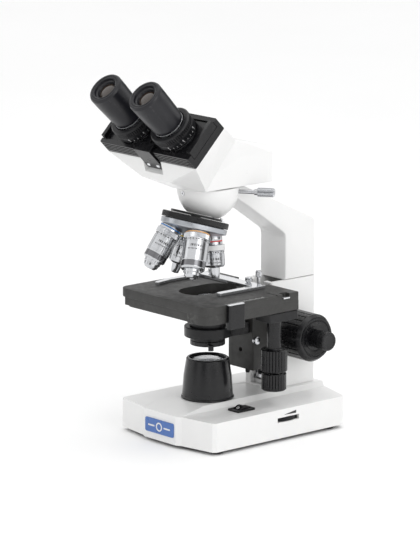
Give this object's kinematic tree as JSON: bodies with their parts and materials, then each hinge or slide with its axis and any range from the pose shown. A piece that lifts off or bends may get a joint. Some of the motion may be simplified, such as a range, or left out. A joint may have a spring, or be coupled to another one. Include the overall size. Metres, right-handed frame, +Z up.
{
  "type": "binocular compound microscope",
  "caption": "Binocular compound microscope with sliding head, turning nosepiece with objectives, mechanical stage, condenser, coaxial focusing and a lamp in a flat white base.",
  "frame": {"origin": "on the table under the middle of the object's box", "axes": "+Z up, -Y towards the user (eyepieces and badge), +X to the object's right as seen from the front"},
  "size_m": [0.1372, 0.239, 0.3449],
  "materials": {
    "white_enamel": "smooth white gloss enamel on die-cast metal",
    "black_enamel": "satin black paint",
    "stage_coat": "fine-grained dark grey coating",
    "black_plastic": "moulded black plastic with a light sheen",
    "rubber": "matt black rubber",
    "chrome": "polished chrome plating",
    "satin_metal": "turned satin metal",
    "brass": "machined brass",
    "glass": "coated optical glass",
    "badge_blue": "glossy blue enamel badge"
  },
  "bodies": {
    "stand": {"base_housing": "white_enamel", "base_plate": "black_enamel", "foot_1": "rubber", "foot_2": "rubber", "foot_3": "rubber", "foot_4": "rubber", "switch_frame": "black_plastic", "dc_inlet": "black_plastic", "lamp_housing": "black_enamel", "collector_lens": "glass", "led_board": "brass", "focus_housing": "white_enamel", "arm": "white_enamel", "nosepiece_mount": "black_enamel", "click_spring": "satin_metal"},
    "switch_key": {"switch_rocker": "black_plastic"},
    "dimmer": {"dimmer_wheel": "black_plastic"},
    "head_lock": {"head_lock_screw": "chrome"},
    "turret": {"turret_disc": "satin_metal", "turret_grip": "black_plastic", "objective_4x": "chrome", "objective_10x": "chrome", "objective_40x": "chrome", "objective_100x": "chrome"},
    "nose_40x": {"objective_40x_nose": "chrome"},
    "nose_100x": {"objective_100x_nose": "chrome"},
    "head": {"head_housing": "white_enamel", "head_collar": "satin_metal", "head_prism": "glass", "face_frame": "black_enamel", "centre_bracket": "black_enamel"},
    "plate_left": {"slide_plate_left": "black_enamel", "eyepiece_tube_left": "satin_metal"},
    "plate_right": {"slide_plate_right": "black_enamel", "eyepiece_tube_right": "satin_metal"},
    "diopter_left": {"diopter_ring_left": "black_plastic"},
    "diopter_right": {"diopter_ring_right": "black_plastic"},
    "ocular_left": {"eyepiece_left": "black_plastic"},
    "ocular_right": {"eyepiece_right": "black_plastic"},
    "coarse_knobs": {"coarse_knob_left": "black_plastic", "coarse_knob_right": "black_plastic"},
    "pinion": {"coarse_pinion": "brass"},
    "fine_knobs": {"fine_shaft": "satin_metal", "fine_knob_left": "black_plastic", "fine_knob_right": "black_plastic"},
    "fine_slide": {"fine_carriage": "satin_metal"},
    "carrier": {"stage_carrier": "stage_coat", "focus_rack": "brass", "condenser_mount": "black_enamel", "stage_base": "stage_coat"},
    "stage": {"stage_top": "stage_coat", "stage_side_bracket": "stage_coat", "knob_bracket": "stage_coat"},
    "upper_knob": {"stage_knob_upper": "black_plastic"},
    "lower_knob": {"stage_knob_lower": "black_plastic"},
    "slide_carriage": {"slide_holder": "chrome"},
    "finger": {"spring_finger": "chrome"},
    "condenser": {"condenser_body": "black_enamel", "condenser_lens": "glass"},
    "iris": {"iris_lever": "black_plastic"}
  },
  "joints": [
    {"name": "switch_rock", "type": "hinge", "parent": "stand", "child": "switch_key", "pos_m": [0.043, -0.00396, 0.0302], "axis": [1, 0, 0], "range_deg": [0, 14]},
    {"name": "dimmer_turn", "type": "hinge", "parent": "stand", "child": "dimmer", "pos_m": [0.0504, 0.03414, 0.0204], "axis": [0, 0, 1], "range_deg": [0, 270]},
    {"name": "head_lock_turn", "type": "hinge", "parent": "stand", "child": "head_lock", "pos_m": [0, -0.00796, 0.2316], "axis": [0.7826, 0.6225, 0], "range_deg": [0, 360]},
    {"name": "turret_turn", "type": "hinge", "parent": "stand", "child": "turret", "pos_m": [0, -0.02706, 0.1949], "axis": [0, 0.2924, 0.9563], "continuous": true},
    {"name": "nose_40x_spring", "type": "slide", "parent": "turret", "child": "nose_40x", "axis": [0.1373, 0.5265, 0.839], "range_m": [0, 0.0015], "stiffness_N_per_m": 400, "springref_m": -0.002},
    {"name": "nose_100x_spring", "type": "slide", "parent": "turret", "child": "nose_100x", "axis": [-0.2581, 0.4109, 0.8744], "range_m": [0, 0.0015], "stiffness_N_per_m": 400, "springref_m": -0.002},
    {"name": "head_turn", "type": "hinge", "parent": "stand", "child": "head", "pos_m": [0, -0.00796, 0.2363], "axis": [0, 0, 1], "continuous": true},
    {"name": "ipd_right", "type": "slide", "parent": "head", "child": "plate_right", "axis": [1, 0, 0], "range_m": [0, 0.01]},
    {"name": "ipd_left", "type": "slide", "parent": "head", "child": "plate_left", "axis": [1, 0, 0], "range_m": [-0.01, 0]},
    {"name": "diopter_right_turn", "type": "hinge", "parent": "plate_right", "child": "diopter_right", "pos_m": [0.0275, -0.07443, 0.29981], "axis": [0, -0.7071, 0.7071], "range_deg": [-150, 150]},
    {"name": "diopter_left_turn", "type": "hinge", "parent": "plate_left", "child": "diopter_left", "pos_m": [-0.0275, -0.07443, 0.29981], "axis": [0, -0.7071, 0.7071], "range_deg": [-150, 150]},
    {"name": "eyepiece_right_lift", "type": "slide", "parent": "plate_right", "child": "ocular_right", "axis": [0, -0.7071, 0.7071], "range_m": [0, 0.03]},
    {"name": "eyepiece_left_lift", "type": "slide", "parent": "plate_left", "child": "ocular_left", "axis": [0, -0.7071, 0.7071], "range_m": [0, 0.03]},
    {"name": "fine_spin", "type": "hinge", "parent": "stand", "child": "fine_knobs", "pos_m": [0, 0.08304, 0.0864], "axis": [1, 0, 0], "range_deg": [-1802, 1802]},
    {"name": "fine_focus", "type": "slide", "parent": "stand", "child": "fine_slide", "axis": [0, 0, 1], "range_m": [-0.001, 0.001]},
    {"name": "coarse_focus", "type": "slide", "parent": "fine_slide", "child": "carrier", "axis": [0, 0, 1], "range_m": [-0.0085, 0.0035]},
    {"name": "coarse_spin", "type": "hinge", "parent": "stand", "child": "coarse_knobs", "pos_m": [0, 0.08304, 0.0864], "axis": [1, 0, 0], "range_deg": [-35, 82]},
    {"name": "pinion_spin", "type": "hinge", "parent": "fine_slide", "child": "pinion", "pos_m": [0, 0.08304, 0.0864], "axis": [1, 0, 0], "range_deg": [-35, 82]},
    {"name": "stage_y", "type": "slide", "parent": "carrier", "child": "stage", "axis": [0, 1, 0], "range_m": [-0.013, 0.013]},
    {"name": "upper_knob_turn", "type": "hinge", "parent": "stage", "child": "upper_knob", "pos_m": [0.05, 0.03004, 0.074], "axis": [0, 0, 1], "range_deg": [-95, 95]},
    {"name": "stage_x", "type": "slide", "parent": "stage", "child": "slide_carriage", "axis": [1, 0, 0], "range_m": [-0.035, 0.035]},
    {"name": "lower_knob_turn", "type": "hinge", "parent": "stage", "child": "lower_knob", "pos_m": [0.05, 0.03004, 0.054], "axis": [0, 0, 1], "range_deg": [-270, 270]},
    {"name": "finger_swing", "type": "hinge", "parent": "slide_carriage", "child": "finger", "pos_m": [-0.047, 0.02004, 0.14], "axis": [0, 0, -1], "range_deg": [0, 20], "stiffness_Nm_per_rad": 0.02, "springref_deg": -11.46},
    {"name": "condenser_lift", "type": "slide", "parent": "carrier", "child": "condenser", "axis": [0, 0, 1], "range_m": [-0.002, 0.0015]},
    {"name": "iris_turn", "type": "hinge", "parent": "condenser", "child": "iris", "pos_m": [0, -0.00796, 0.0886], "axis": [0, 0, 1], "range_deg": [-40, 40]}
  ],
  "couplings": [
    {"joint": "ipd_left", "follows": "ipd_right", "ratio": -1},
    {"joint": "fine_spin", "follows": "fine_focus", "rad_per_m": 31416},
    {"joint": "coarse_spin", "follows": "coarse_focus", "rad_per_m": -166.67},
    {"joint": "pinion_spin", "follows": "coarse_focus", "rad_per_m": -166.67},
    {"joint": "upper_knob_turn", "follows": "stage_y", "rad_per_m": 125},
    {"joint": "lower_knob_turn", "follows": "stage_x", "rad_per_m": 133}
  ]
}
